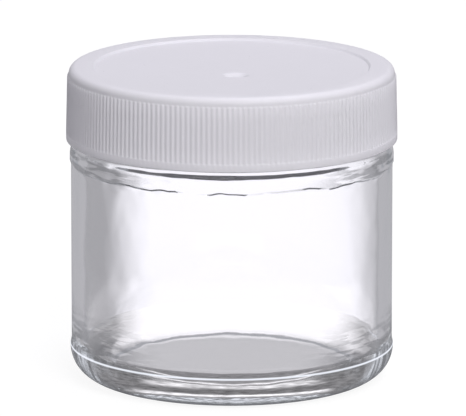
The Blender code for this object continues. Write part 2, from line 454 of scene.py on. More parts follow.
@dataclass(frozen=True)
class Thread:
    """Continuous screw thread shared by the neck and the cap.

    Args:
        diameter: Outside diameter on the neck.
        depth: Height of the ridge above the neck.
        pitch: Rise for one turn.
        turns: Length of each ridge in turns.
        runout: Share of a turn over which each end runs out.
        crest_width: Width of the neck ridge's crest.
        flank_share: Rise of a flank for its depth.
        start_depth: From the lip down to the upper end of the neck's ridge.
        phase: Angle of that upper end about the axis.
        crest_gap: Radial gap between each crest and the wall that it faces.
        flank_gap: Gap between the two flanks that bear on each other.
        cap_crest_width: Width of the cap ridge's crest.
        cap_rise: From the cap's lower edge up to its ridge.
        burial: How deep a ridge's root lies in its wall.
    """

    diameter: float = 52.5 * MM
    depth: float = 1.2 * MM
    pitch: float = 4.2333 * MM
    turns: float = 1.1
    runout: float = 0.07
    crest_width: float = 0.9 * MM
    flank_share: float = 0.6
    start_depth: float = 2.5 * MM
    phase: float = math.radians(-35)
    crest_gap: float = 0.35 * MM
    flank_gap: float = 0.3 * MM
    cap_crest_width: float = 0.5 * MM
    cap_rise: float = 1.1 * MM
    burial: float = 0.4 * MM

    @property
    def neck_radius(self) -> float:
        """Radius of the neck between the turns."""
        return self.diameter / 2 - self.depth

    @property
    def skirt_radius(self) -> float:
        """Inner radius of the cap's skirt."""
        return self.diameter / 2 + self.crest_gap

    @property
    def cap_depth(self) -> float:
        """Height of the cap's ridge."""
        return self.skirt_radius - self.neck_radius - self.crest_gap

    @property
    def cap_crest_top(self) -> float:
        """Place of the upper edge of the cap ridge's crest.

        Returns:
            Its height above the helix, which is negative.
        """
        half_base = self.crest_width / 2 + self.flank_share * self.depth
        drop = self.flank_gap * math.hypot(1, self.flank_share)
        return self.flank_share * self.crest_gap - half_base - drop


@dataclass(frozen=True)
class Relief:
    """What the turning tree lays on a surface. The names are the tree's inputs.

    Args:
        segments: Points round the axis.
        rib_count: Grip ribs round the skirt, or knurls round the foot.
        rib_depth: Depth of the grooves between the ribs.
        knurl_depth: Depth of the grooves between the knurls.
        ridge_height: Height of the thread ridge, negative where it grows inwards.
        ridge_helix: Height of the helix at the thread's phase.
        ridge_middle: Middle of the ridge above the helix.
        ridge_crest: Width of the ridge's crest.
        ridge_start: Lower end of the ridge in turns above the neck ridge's upper end.
        wave_height: Height of the waves in moulded glass.
        ripple_height: Height of its ripples.
        wobble_height: How far a ledge in it wobbles up and down.
        gate_depth: Depth of the gate mark.
    """

    segments: int
    rib_count: int = 0
    rib_depth: float = 0.0
    knurl_depth: float = 0.0
    ridge_height: float = 0.0
    ridge_helix: float = 0.0
    ridge_middle: float = 0.0
    ridge_crest: float = 0.0
    ridge_start: float = 0.0
    wave_height: float = 0.0
    ripple_height: float = 0.0
    wobble_height: float = 0.0
    gate_depth: float = 0.0


@dataclass
class TurningTree:
    """Geometry node tree that turns an outline about the Z axis and lays the relief on it.

    Args:
        thread: The shared thread.
        gate_place: Place of the gate mark on the panel.
        gate_radius: Its radius.
        gate_flat: Share of that radius over which it is flat.
        wave_size: Size of the waves in the glass.
        ripple_size: Height of its ripples' pattern.
        ripple_flatness: That height as a share of their width.
        wobble_size: Size of the wobbles of its ledges.
        wave_detail: Detail of the noise of all three.
        weld: Distance within which points are merged.
    """

    thread: Thread
    gate_place: Point = (0.7 * MM, -4.1 * MM)
    gate_radius: float = 2.4 * MM
    gate_flat: float = 0.45
    wave_size: float = 8 * MM
    ripple_size: float = 1.5 * MM
    ripple_flatness: float = 0.35
    wobble_size: float = 5 * MM
    wave_detail: float = 1.5
    weld: float = 0.002 * MM
    tree: Tree = field(init=False)
    group: Node = field(init=False)
    identifiers: dict[str, str] = field(init=False, default_factory=dict)

    def __post_init__(self) -> None:
        """Build the tree."""
        self.tree = bpy.data.node_groups.new("turn_outline", "GeometryNodeTree")
        self.tree.is_modifier = True
        self._add_socket("outline", "NodeSocketGeometry")
        for entry in fields(Relief):
            self._add_socket(entry.name, "NodeSocketInt" if entry.type is int else "NodeSocketFloat")
        self._add_socket("material", "NodeSocketMaterial")
        interface = self.tree.interface
        interface.new_socket(name="surface", in_out="OUTPUT", socket_type="NodeSocketGeometry")
        self.group = self.tree.nodes.new("NodeGroupInput")
        self._link_surface()

    def _add_socket(self, name: str, kind: str) -> None:
        """Declare an input and keep its identifier."""
        socket = self.tree.interface.new_socket(name=name, in_out="INPUT", socket_type=kind)
        self.identifiers[name] = socket.identifier

    def _input(self, name: str) -> Term:
        """An input of the tree as a term."""
        return Term(self.tree, self.group.outputs[name])

    def _sample(self, row: Term, value: Socket, kind: str) -> Socket:
        """Read a field of the outline at a row.

        Args:
            row: Index of the outline's point.
            value: The field.
            kind: Its data type.

        Returns:
            The socket with the value.
        """
        node = self.tree.nodes.new("GeometryNodeSampleIndex")
        node.data_type = kind
        feed(self.tree, node.inputs["Geometry"], self._input("outline"))
        feed(self.tree, node.inputs["Value"], value)
        feed(self.tree, node.inputs["Index"], row)
        return node.outputs["Value"]

    def _share(self, row: Term, name: str) -> Term:
        """Read one of the outline's shares at a row.

        Args:
            row: Index of the outline's point.
            name: Name of the share.

        Returns:
            The share as a term.
        """
        node = self.tree.nodes.new("GeometryNodeInputNamedAttribute")
        node.data_type = "FLOAT"
        node.inputs["Name"].default_value = name
        return Term(self.tree, self._sample(row, node.outputs["Attribute"], "FLOAT"))

    def _joined(self, x: Operand, y: Operand, z: Operand) -> Socket:
        """A vector from its parts."""
        return add_node(self.tree, "ShaderNodeCombineXYZ", X=x, Y=y, Z=z).outputs[0]

    def _ridge(self, turn: Term, height: Term) -> Term:
        """Share of the thread ridge's full height at a place on the wall.

        Args:
            turn: Angle about the axis in turns.
            height: Height of the place.

        Returns:
            0 away from the ridge and 1 on its crest.
        """
        thread = self.thread
        middle_height = height - self._input("ridge_middle") - self._input("ridge_helix")
        along = middle_height / thread.pitch
        phase = turn - thread.phase / math.tau
        travelled = phase + (along - phase).maths("ROUND")
        beside = (along - travelled).maths("ABSOLUTE") * thread.pitch
        half_crest = self._input("ridge_crest") * 0.5
        flank = self._input("ridge_height").maths("ABSOLUTE") * thread.flank_share
        across = beside.step(half_crest + flank, half_crest)
        past_start = travelled - self._input("ridge_start")
        lower = past_start.step(0, thread.runout)
        upper = past_start.step(thread.turns, thread.turns - thread.runout)
        return across * lower * upper

    def _wave(self, place: Socket, size: float) -> Term:
        """Waves of moulded glass of a size, from -1 to 1."""
        return noise(self.tree, place, size, self.wave_detail) * 2 - 1

    def _dent(self, x: Term, y: Term) -> Term:
        """Share of the gate mark's depth at a place on the panel.

        Args:
            x: Where it lies along X.
            y: Where it lies along Y.

        Returns:
            0 away from the mark and 1 in its middle.
        """
        away_x = x - self.gate_place[0]
        away_y = y - self.gate_place[1]
        away = (away_x * away_x + away_y * away_y).maths("SQRT")
        return away.step(self.gate_radius, self.gate_radius * self.gate_flat)

    def _link_surface(self) -> None:
        """Link the tree from the grid to the output."""
        tree = self.tree
        outline = self._input("outline")
        count = add_node(tree, "GeometryNodeAttributeDomainSize", Geometry=outline)
        rows = Term(tree, count.outputs[0])
        grid = add_node(
            tree, "GeometryNodeMeshGrid", Size_X=1, Size_Y=1,
            Vertices_X=self._input("segments") + 1, Vertices_Y=rows,
        )
        place = tree.nodes.new("GeometryNodeInputPosition").outputs[0]
        grid_x, grid_y, _ = split(tree, place)
        turn = grid_x + 0.5
        row = ((grid_y + 0.5) * (rows - 1)).maths("ROUND")
        radius, _, height = split(tree, self._sample(row, place, "FLOAT_VECTOR"))
        angle = turn * math.tau
        groove = 0.5 - (angle * self._input("rib_count")).maths("COSINE") * 0.5
        radius = radius - groove * self._input("rib_depth") * self._share(row, "ribs")
        ridge = self._ridge(turn, height) * self._share(row, "thread")
        radius = radius + ridge * self._input("ridge_height")
        cosine = angle.maths("COSINE")
        sine = angle.maths("SINE")
        plain_x = radius * cosine
        plain_y = radius * sine
        plain = self._joined(plain_x, plain_y, height)
        height = height + groove * self._input("knurl_depth") * self._share(row, "knurls")
        wave = self._wave(plain, self.wave_size) * self._input("wave_height")
        flat = self._joined(plain_x * self.ripple_flatness, plain_y * self.ripple_flatness, height)
        ripple = self._wave(flat, self.ripple_size) * self._input("ripple_height")
        radius = radius + wave * self._share(row, "waves") + ripple * self._share(row, "ripples")
        wobble = self._wave(plain, self.wobble_size) * self._input("wobble_height")
        height = height + wobble * self._share(row, "wobbles")
        dent = self._dent(radius * cosine, radius * sine) * self._share(row, "panel")
        height = height - dent * self._input("gate_depth")
        moved = self._joined(radius * cosine, radius * sine, height)
        steps = (
            ("GeometryNodeSetPosition", {"Position": moved}),
            ("GeometryNodeMergeByDistance", {"Distance": self.weld}),
            ("GeometryNodeSetShadeSmooth", {}),
            ("GeometryNodeRealizeInstances", {}),
            ("GeometryNodeSetMaterial", {"Material": self._input("material")}),
        )
        current = grid.outputs["Mesh"]
        for kind, values in steps:
            node = add_node(tree, kind, **values)
            tree.links.new(current, node.inputs[0])
            current = node.outputs[0]
        tree.links.new(current, tree.nodes.new("NodeGroupOutput").inputs[0])

    def turn(self, part: Part, corners: list[Corner], relief: Relief, material: Material) -> None:
        """Turn an outline into a finished piece and hand it to the frame.

        Args:
            part: Which piece it is.
            corners: Its outline from the axis round to the axis.
            relief: What is laid on the surface.
            material: Its finish.
        """
        node, body, slot = part.value
        piece = bpy.data.objects.new(f"{node}_fine", outline_mesh(node, traced(corners)))
        modifier = piece.modifiers.new("turn_outline", "NODES")
        modifier.node_group = self.tree
        for entry in fields(relief):
            modifier[self.identifiers[entry.name]] = getattr(relief, entry.name)
        modifier[self.identifiers["material"]] = material
        bpy.context.scene.collection.objects.link(piece)
        evaluated = piece.evaluated_get(bpy.context.evaluated_depsgraph_get())
        mesh = bpy.data.meshes.new_from_object(evaluated)
        piece.modifiers.clear()
        piece.data = mesh
        face_outwards(mesh)
        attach(piece, body)
        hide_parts(node)
        LOG.info("%s: %d faces", piece.name, len(mesh.polygons))


def face_outwards(mesh: bpy.types.Mesh) -> None:
    """Turn every face of a closed mesh outwards.

    Args:
        mesh: The mesh.
    """
    bm = bmesh.new()
    bm.from_mesh(mesh)
    bmesh.ops.recalc_face_normals(bm, faces=bm.faces)
    bm.to_mesh(mesh)
    bm.free()


# Finishes

@dataclass(frozen=True)
class Finish:
    """A finish of one shader whose roughness and bump come from noise in the surface.

    Args:
        name: Name of the material.
        colour: Base colour.
        mottle: How much the base colour varies.
        roughness: Mean roughness.
        roughness_spread: How much the roughness varies either way.
        grain: Size of the fine grain.
        bump: Height of the grain.
        ior: Index of refraction.
        transmission: 1 for glass, else 0.
        cloud: Size of the base colour's clouds.
        cloud_noise: Range of noise from the darkest to the brightest of them.
    """

    name: str
    colour: Colour
    mottle: float
    roughness: float
    roughness_spread: float
    grain: float
    bump: float
    ior: float = 1.5
    transmission: float = 0.0
    cloud: float = 12 * MM
    cloud_noise: Point = (0.3, 0.7)

    def make(self) -> Material:
        """Make the material.

        Returns:
            The material.
        """
        material = bpy.data.materials.new(self.name)
        material.use_nodes = True
        tree = material.node_tree
        shader = tree.nodes["Principled BSDF"]
        shader.inputs["IOR"].default_value = self.ior
        shader.inputs["Transmission Weight"].default_value = self.transmission
        place = tree.nodes.new("ShaderNodeTexCoord").outputs["Object"]
        clouds = noise(tree, place, self.cloud, detail=3.0)
        low, high = self.cloud_noise
        colour = graded(tree, clouds, ((low, 1 - self.mottle), (high, 1.0)), self.colour)
        tree.links.new(colour, shader.inputs["Base Color"])
        fine = noise(tree, place, self.grain, detail=4.0)
        roughness = about(self.roughness, self.roughness_spread, fine).held()
        feed(tree, shader.inputs["Roughness"], roughness)
        height = self._height(tree, place, fine)
        relief = add_node(tree, "ShaderNodeBump", Strength=1.0, Distance=self.bump, Height=height)
        tree.links.new(relief.outputs[0], shader.inputs["Normal"])
        return material

    def _height(self, tree: Tree, place: Socket, fine: Term) -> Term:
        """Height of the grain for the bump."""
        return fine


@dataclass(frozen=True)
class Foam(Finish):
    """Foamed plastic with small cells.

    Args:
        cell: Size of a cell.
        cell_grain: Share of the fine grain on the cells.
    """

    cell: float = 0.5 * MM
    cell_grain: float = 0.3

    def _height(self, tree: Tree, place: Socket, fine: Term) -> Term:
        """Height of the cells for the bump."""
        cells = add_node(tree, "ShaderNodeTexVoronoi", Vector=place, Scale=1 / self.cell)
        return Term(tree, cells.outputs["Distance"]) + fine * self.cell_grain


@dataclass(frozen=True)
class Glass(Finish):
    """Clear glass in which light caught between its faces is painted as a mottled glow.

    A range of facing tells how far the glass turns from the viewer, from 0 to 1, where a mark begins
    and where it is full. A range of noise does the same for the noise that draws a mark.

    Args:
        caught_depth: Number of mirrorings after which light counts as caught.
        glow: Brightness of the painted glow at its dark and bright spots, near the foot.
        even_glow: Brightness of the painted glow above the foot, where it has no spots.
        spot: Height of a spot.
        spot_spread: That height as a share of its width.
        spot_noise: Range of noise from dark to bright.
        foot: Height to which the painted glow spots and the painted shade reach.
        fade: Height over which they fade out above it, and over which the painted shade's streak marks
            fade in below it.
        shade: Share of painted shade where the foot turns away from the viewer.
        shade_facing: Its range of facing.
        rim: Height to which the painted shade on the heel's rim reaches.
        rim_shade: Share of its shade.
        rim_facing: Its range of facing.
        shade_level: Brightness of the painted shade, also in its streak marks.
        streaks: Share of painted shade in streak marks above the foot.
        streak: Height of a streak.
        streak_spread: That height as a share of its width.
        streak_noise: Range of noise from none to full.
        streak_facing: Its range of facing.
        streak_full: Height above which the streaks fade.
        streak_top: Height to which they reach.
        band: Heights between which they show again, round the shoulder.
        band_edge: Height over which they fade there.
        cool: Colour of the painted glow, the painted shade and the painted highlight.
        ledge: Height of the painted highlight, a pale line along the ledge above the heel.
        ledge_width: Half its width.
        ledge_share: Its share.
    """

    caught_depth: float = 2.5
    glow: Point = (0.26, 0.85)
    even_glow: float = 0.36
    spot: float = 0.4 * MM
    spot_spread: float = 0.3
    spot_noise: Point = (0.42, 0.58)
    foot: float = 6 * MM
    fade: float = 1 * MM
    shade: float = 0.6
    shade_facing: Point = (0.45, 0.85)
    rim: float = 1.7 * MM
    rim_shade: float = 0.85
    rim_facing: Point = (0.48, 0.64)
    shade_level: float = 0.14
    streaks: float = 0.5
    streak: float = 0.8 * MM
    streak_spread: float = 0.12
    streak_noise: Point = (0.42, 0.54)
    streak_facing: Point = (0.1, 0.35)
    streak_full: float = 8 * MM
    streak_top: float = 15 * MM
    band: Point = (37.2 * MM, 40.6 * MM)
    band_edge: float = 0.5 * MM
    cool: Colour = (0.95, 0.985, 1.07)
    ledge: float = 5.7 * MM
    ledge_width: float = 0.16 * MM
    ledge_share: float = 0.85

    def make(self) -> Material:
        """Make the material.

        Returns:
            The material.
        """
        material = super().make()
        tree = material.node_tree
        place = tree.nodes.new("ShaderNodeTexCoord").outputs["Object"]
        _, _, height = split(tree, place)
        # Painted glow: a ray caught between the faces meets an emission in place of light, with painted
        # bright and dark spots near the foot.
        near = height.step(self.foot + self.fade, self.foot)
        low, high = self.glow
        spots = self._level_noise(tree, place, self.spot, self.spot_spread, self.spot_noise)
        bright = (spots * (high - low) + low - self.even_glow) * near + self.even_glow
        path = tree.nodes.new("ShaderNodeLightPath")
        caught = Term(tree, path.outputs["Glossy Depth"]).maths("GREATER_THAN", self.caught_depth)
        glow = emission(tree, self.cool, bright)
        body = mix_shaders(tree, caught, tree.nodes["Principled BSDF"], glow)
        # Painted shade: grey emission where the foot turns away, on the heel's rim and in streak marks,
        # on the face the camera meets first.
        first = Term(tree, path.outputs["Is Camera Ray"])
        facing = Term(tree, tree.nodes.new("ShaderNodeLayerWeight").outputs["Facing"])
        shade = facing.step(*self.shade_facing) * near * self.shade
        rim = height.step(self.rim, self.rim / 2) * facing.step(*self.rim_facing) * self.rim_shade
        streaks = self._streaks(tree, place, height) * facing.step(*self.streak_facing) * self.streaks
        dimmed = shade.maths("MAXIMUM", rim).maths("MAXIMUM", streaks) * first
        dim = mix_shaders(tree, dimmed, body, emission(tree, self.cool, self.shade_level))
        # Painted highlight: a pale emission line along the ledge above the heel, on the face the camera
        # meets first.
        off_ledge = (height - self.ledge).maths("ABSOLUTE")
        line = off_ledge.step(self.ledge_width * 1.5, self.ledge_width / 2) * first * self.ledge_share
        last = mix_shaders(tree, line, dim, emission(tree, self.cool, 1.0))
        tree.links.new(last.outputs[0], tree.nodes["Material Output"].inputs["Surface"])
        return material

    def _level_noise(self, tree: Tree, place: Socket, size: float, spread: float,
                     edges: Point) -> Term:
        """Level marks round the wall.

        Args:
            tree: The material's node tree.
            place: Place on the surface.
            size: Height of a mark.
            spread: That height as a share of its width.
            edges: Range of noise over which a mark grows.

        Returns:
            Their strength, from 0 to 1.
        """
        flat = add_node(tree, "ShaderNodeMapping", Vector=place, Scale=(spread, spread, 1.0))
        return noise(tree, flat.outputs[0], size, detail=2.0).step(*edges)

    def _streaks(self, tree: Tree, place: Socket, height: Term) -> Term:
        """Level streak marks of painted shade above the foot and round the shoulder.

        Args:
            tree: The material's node tree.
            place: Place on the surface.
            height: Its height.

        Returns:
            Their strength, from 0 to 1.
        """
        lines = self._level_noise(tree, place, self.streak, self.streak_spread, self.streak_noise)
        start = height.step(self.foot - self.fade, self.foot)
        above = start * height.step(self.streak_top, self.streak_full)
        low, high = self.band
        band = height.step(low, low + self.band_edge) * height.step(high, high - self.band_edge)
        return lines * (above + band)


CLEAR_GLASS = Glass(
    name="clear_glass_moulded", colour=(0.994, 0.993, 1.0), mottle=0.004, roughness=0.006,
    roughness_spread=0.004, grain=6 * MM, bump=0.004 * MM, ior=1.52, transmission=1.0,
)
WHITE_PLASTIC = Finish(
    name="white_plastic_satin", colour=(0.80, 0.79, 0.83), mottle=0.012, roughness=0.32,
    roughness_spread=0.05, grain=0.5 * MM, bump=0.006 * MM,
)
LINER_FOAM = Foam(
    name="liner_foam_white", colour=(0.85, 0.85, 0.84), mottle=0.03, roughness=0.7,
    roughness_spread=0.08, grain=0.3 * MM, bump=0.05 * MM,
)


# Pieces

@dataclass(frozen=True)
class GlassJar:
    """The glass: foot with push-up, heel, recessed label panel, shoulder, threaded neck and cavity.

    A spacing is the longest stretch between two points of the outline there, steps are the stretches
    of an arc, and waves and ripples are shares of wave_height and ripple_height. The stages lead down
    the inner wall, as (height above the heel's arc, spacing, ripples).
    """

    thread: Thread
    shoulder_height: float = 41.0 * MM
    finish_height: float = 9.8 * MM
    neck_wall: float = 2.8 * MM
    neck_fillet: float = 0.4 * MM
    neck_fillet_steps: int = 6
    neck_spacing: float = 0.8 * MM
    neck_waves: float = 0.5
    thread_spacing: float = 0.2 * MM
    lip_outer_round: float = 0.8 * MM
    lip_inner_round: float = 0.7 * MM
    lip_steps: int = 8
    shoulder_step: float = 2.6 * MM
    shoulder_round_width: float = 1.2 * MM
    shoulder_round_height: float = 2.4 * MM
    shoulder_steps: int = 14
    shoulder_band: float = 3.3 * MM
    band_ledge: float = 0.36 * MM
    band_ledge_round: float = 0.15 * MM
    band_ledge_ripples: float = 2.0
    panel_recess: float = 0.2 * MM
    panel_margin: float = 2 * MM
    panel_spacing: float = 1 * MM
    panel_waves: float = 0.15
    wall: float = 2.25 * MM
    wall_spacing: float = 0.5 * MM
    inner_shoulder_drop: float = 2.1 * MM
    inner_shoulder_rise: float = 0.5 * MM
    inner_shoulder_steps: int = 18
    inner_shoulder_ripples: float = 1.4
    heel: float = 5.45 * MM
    heel_steps: int = 22
    heel_band: float = 0.25 * MM
    heel_ledge: float = 0.9 * MM
    heel_ledge_round: float = 0.5 * MM
    inner_heel: float = 4.3 * MM
    inner_heel_steps: int = 20
    inner_heel_stages: tuple[tuple[float, float, float], ...] = (
        (8 * MM, 0.9 * MM, 0.0), (4 * MM, 0.4 * MM, 0.3), (0.0, 0.4 * MM, 0.6),
    )
    bearing_ring: float = 1.0 * MM
    push_up: float = 0.35 * MM
    push_up_slope: float = 1.0 * MM
    push_up_spacing: float = 2 * MM
    foot_round: float = 0.3 * MM
    foot_spacing: float = 0.3 * MM
    knurl_count: int = 80
    knurl_depth: float = 0.05 * MM
    knurl_end: float = 0.6 * MM
    knurl_spacing: float = 0.25 * MM
    base: float = 2.05 * MM
    base_edge: float = 1 * MM
    base_spacing: float = 1.5 * MM
    segments: int = 320
    wave_height: float = 0.05 * MM
    ripple_height: float = 0.05 * MM
    wobble_height: float = 0.8 * MM

    @property
    def lip_height(self) -> float:
        """Height of the sealing lip."""
        return self.shoulder_height + self.finish_height

    @property
    def helix_height(self) -> float:
        """Height of the upper end of the thread."""
        return self.lip_height - self.thread.start_depth

    @property
    def outer(self) -> float:
        """Outer radius of the body."""
        return self.thread.neck_radius + self.shoulder_step

    @property
    def panel(self) -> float:
        """Radius of the recessed panel."""
        return self.outer - self.panel_recess

    def outside(self) -> list[Corner]:
        """Outline from the middle of the foot up the outside to the lip.

        Returns:
            Its corners in order.
        """
        neck = self.thread.neck_radius
        flat = self.outer - self.heel
        ring = flat - self.bearing_ring
        heel_top = self.heel + self.heel_band
        band = self.shoulder_height - self.shoulder_band
        width, height = self.shoulder_round_width, self.shoulder_round_height
        round_centre = (self.outer - width, self.shoulder_height - height)
        fillet = self.neck_fillet
        fillet_centre = (neck + fillet, self.shoulder_height + fillet)
        lip = self.lip_outer_round
        lip_foot = self.lip_height - lip
        ledge = {"rounding": self.band_ledge_round, "wobbles": 1}
        plain = {"spacing": self.panel_spacing, "waves": self.panel_waves}
        return [
            Corner(0, self.push_up),
            Corner(ring - self.push_up_slope, self.push_up, self.foot_round, self.push_up_spacing),
            Corner(ring, 0, self.foot_round, self.foot_spacing, knurls=1),
            Corner(flat - self.knurl_end, 0, spacing=self.knurl_spacing),
            Corner(flat, 0),
            *arc((flat, self.heel), self.heel, self.heel, -90, 0, self.heel_steps)[1:],
            Corner(self.outer, heel_top, self.heel_ledge_round),
            Corner(self.panel, heel_top + self.heel_ledge, self.heel_ledge_round),
            Corner(self.panel, heel_top + self.panel_margin, **plain),
            Corner(self.panel, band - self.panel_margin, **plain),
            Corner(self.panel, band - self.band_ledge, spacing=self.wall_spacing,
                   ripples=self.band_ledge_ripples, **ledge),
            Corner(self.outer, band, **ledge),
            *arc(round_centre, width, height, 0, 90, self.shoulder_steps),
            *arc(fillet_centre, fillet, fillet, 270, 180, self.neck_fillet_steps),
            Corner(neck, lip_foot - self.thread_spacing, spacing=self.thread_spacing, thread=1),
            *arc((neck - lip, lip_foot), lip, lip, 0, 90, self.lip_steps),
        ]

    def inside(self) -> list[Corner]:
        """Outline from the lip down the inside to the middle of the floor.

        Returns:
            Its corners in order.
        """
        bore = self.thread.neck_radius - self.neck_wall
        cavity = self.panel - self.wall
        floor = self.push_up + self.base
        lip = self.lip_inner_round
        lip_centre = (bore + lip, self.lip_height - lip)
        head = (bore, self.shoulder_height + self.inner_shoulder_rise)
        foot = (cavity, self.shoulder_height - self.inner_shoulder_drop)
        shoulder = {"waves": 1, "ripples": self.inner_shoulder_ripples}
        heel = self.inner_heel
        centre = (cavity - heel, floor + heel)
        stages = [
            Corner(cavity, centre[1] + rise, 0, spacing, waves=1, ripples=ripples)
            for rise, spacing, ripples in self.inner_heel_stages
        ]
        return [
            *arc(lip_centre, lip, lip, 90, 180, self.lip_steps),
            Corner(*head, spacing=self.neck_spacing, waves=self.neck_waves),
            *s_curve(head, foot, self.inner_shoulder_steps, **shoulder)[1:],
            Corner(cavity, foot[1] - self.panel_margin, spacing=self.wall_spacing, waves=1),
            *stages,
            *arc(centre, heel, heel, 0, -90, self.inner_heel_steps, waves=1, ripples=1)[1:],
            Corner(centre[0] - self.base_edge, floor, spacing=self.foot_spacing),
            Corner(0, floor, spacing=self.base_spacing),
        ]

    def build(self, tree: TurningTree) -> None:
        """Make the piece.

        Args:
            tree: The tree that turns its outline.
        """
        relief = Relief(
            segments=self.segments,
            rib_count=self.knurl_count,
            knurl_depth=self.knurl_depth,
            ridge_height=self.thread.depth,
            ridge_helix=self.helix_height,
            ridge_crest=self.thread.crest_width,
            ridge_start=-self.thread.turns,
            wave_height=self.wave_height,
            ripple_height=self.ripple_height,
            wobble_height=self.wobble_height,
        )
        tree.turn(Part.GLASS, self.outside() + self.inside(), relief, CLEAR_GLASS.make())


@dataclass(frozen=True)
class Liner:
    """The foam disc that the cap presses on the lip."""

    jar: GlassJar
    thickness: float = 0.8 * MM
    side_gap: float = 0.35 * MM
    seat_gap: float = 0.3 * MM
    edge_round: float = 0.15 * MM
    spacing: float = 2 * MM
    segments: int = 128

    @property
    def bottom(self) -> float:
        """Height of its underside."""
        return self.jar.lip_height + self.seat_gap

    def build(self, tree: TurningTree) -> None:
        """Make the piece.

        Args:
            tree: The tree that turns its outline.
        """
        radius = self.jar.thread.skirt_radius - self.side_gap
        top = self.bottom + self.thickness
        corners = [
            Corner(0, self.bottom),
            Corner(radius, self.bottom, self.edge_round, self.spacing),
            Corner(radius, top, self.edge_round),
            Corner(0, top, 0, self.spacing),
        ]
        tree.turn(Part.LINER, corners, Relief(segments=self.segments), LINER_FOAM.make())


@dataclass(frozen=True)
class ScrewCap:
    """The cap: ribbed skirt, rounded rim, sunken dished panel with a gate mark, thread and bead.

    The panel has finer points between gate_near and gate_far, where the gate mark lies.
    """

    liner: Liner
    shoulder_gap: float = 0.4 * MM
    wall: float = 1.65 * MM
    draft: float = 0.22 * MM
    top_wall: float = 0.9 * MM
    edge_round: float = 0.15 * MM
    top_round: float = 1.25 * MM
    top_steps: int = 8
    rim_width: float = 2.9 * MM
    rim_spacing: float = 1 * MM
    step_width: float = 0.3 * MM
    step_depth: float = 0.35 * MM
    step_round: float = 0.1 * MM
    dish: float = 0.5 * MM
    rib_count: int = 198
    rib_depth: float = 0.25 * MM
    rib_band: float = 1.2 * MM
    rib_end: float = 0.3 * MM
    rib_ledge: float = 0.2 * MM
    rib_head_spacing: float = 0.15 * MM
    rib_spacing: float = 2.4 * MM
    rib_foot_spacing: float = 0.1 * MM
    points_per_rib: int = 4
    thread_spacing: float = 0.32 * MM
    thread_margin: float = 1 * MM
    bead_depth: float = 0.6 * MM
    bead_top: float = 0.15 * MM
    bead_lead: float = 0.45 * MM
    bead_round: float = 0.1 * MM
    ceiling_spacing: float = 8 * MM
    gate_depth: float = 0.5 * MM
    gate_near: float = 1.4 * MM
    gate_far: float = 7.2 * MM
    panel_spacings: tuple[float, float, float] = (0.7 * MM, 0.35 * MM, 1.6 * MM)

    @property
    def bottom(self) -> float:
        """Height of the lower edge."""
        return self.liner.jar.shoulder_height + self.shoulder_gap

    @property
    def ceiling(self) -> float:
        """Height of the inside above the liner."""
        return self.liner.bottom + self.liner.thickness + self.liner.seat_gap

    @property
    def crest(self) -> float:
        """Height of the rim."""
        return self.ceiling + self.top_wall + self.dish + self.step_depth

    @property
    def skirt(self) -> float:
        """Outer radius at the lower edge."""
        return self.liner.jar.thread.skirt_radius + self.wall

    def outside(self) -> list[Corner]:
        """Outline from the middle of the panel over the rim and down the skirt.

        Returns:
            Its corners in order.
        """
        rib_top = self.skirt - self.draft
        smooth = rib_top - self.rib_depth
        rim_outer = smooth - self.top_round
        rim_inner = rim_outer - self.rim_width
        panel_rim = rim_inner - self.step_width
        edge = self.crest - self.step_depth
        middle = edge - self.dish
        bounds = (0, self.gate_near, self.gate_far, panel_rim)
        radii = []
        for start, end, spacing in zip(bounds, bounds[1:], self.panel_spacings):
            radii += spread(start, end, spacing)
        top = self.top_round
        centre = (rim_outer, self.crest - top)
        rib_start = centre[1] - self.rib_ledge
        band = self.bottom + self.rib_band
        return [
            Corner(0, middle, panel=1),
            *bowl(radii, middle, edge, panel=1)[:-1],
            Corner(panel_rim, edge, self.step_round),
            Corner(rim_inner, self.crest, self.step_round),
            *arc(centre, top, top, 90, 0, self.top_steps, spacing=self.rim_spacing),
            Corner(smooth, rib_start),
            Corner(rib_top, rib_start - self.rib_end, 0, self.rib_head_spacing, ribs=1),
            Corner(self.skirt, band + self.rib_end, 0, self.rib_spacing, ribs=1),
            Corner(self.skirt, band, 0, self.rib_foot_spacing),
            Corner(self.skirt, self.bottom, self.edge_round),
        ]

    def inside(self) -> list[Corner]:
        """Outline from the lower edge up the inside to the middle of the ceiling.

        Returns:
            Its corners in order.
        """
        wall = self.liner.jar.thread.skirt_radius
        bead_top = self.liner.bottom - self.liner.seat_gap
        bead_crest = bead_top - self.bead_top
        return [
            Corner(wall, self.bottom, self.edge_round),
            Corner(wall, self.bottom + self.thread_margin),
            Corner(wall, bead_crest - self.bead_lead, 0, self.thread_spacing, thread=1),
            Corner(wall - self.bead_depth, bead_crest, self.bead_round),
            Corner(wall, bead_top),
            Corner(wall, self.ceiling, self.edge_round),
            Corner(0, self.ceiling, 0, self.ceiling_spacing),
        ]

    def build(self, tree: TurningTree) -> None:
        """Make the piece.

        Args:
            tree: The tree that turns its outline.
        """
        thread = self.liner.jar.thread
        root_foot = thread.cap_crest_top - thread.cap_crest_width
        root_foot -= thread.flank_share * (thread.cap_depth + thread.burial)
        low = self.bottom + thread.cap_rise - root_foot
        relief = Relief(
            segments=self.rib_count * self.points_per_rib,
            rib_count=self.rib_count,
            rib_depth=self.rib_depth,
            ridge_height=-thread.cap_depth,
            ridge_helix=self.liner.jar.helix_height,
            ridge_middle=thread.cap_crest_top - thread.cap_crest_width / 2,
            ridge_crest=thread.cap_crest_width,
            ridge_start=(low - self.liner.jar.helix_height) / thread.pitch,
            gate_depth=self.gate_depth,
        )
        tree.turn(Part.CAP, self.outside() + self.inside(), relief, WHITE_PLASTIC.make())


# Studio

class Lamp(Enum):
    """Soft lamps, as (direction from the jar, distance, width, radiance, colour)."""

    KEY = ((0.24, -0.73, 0.63), 0.8, 0.35, 8.1, (1.0, 0.99, 0.985))
    SIDE = ((0.26, 0.12, 0.94), 0.8, 0.35, 4.2, (0.96, 0.94, 1.05))


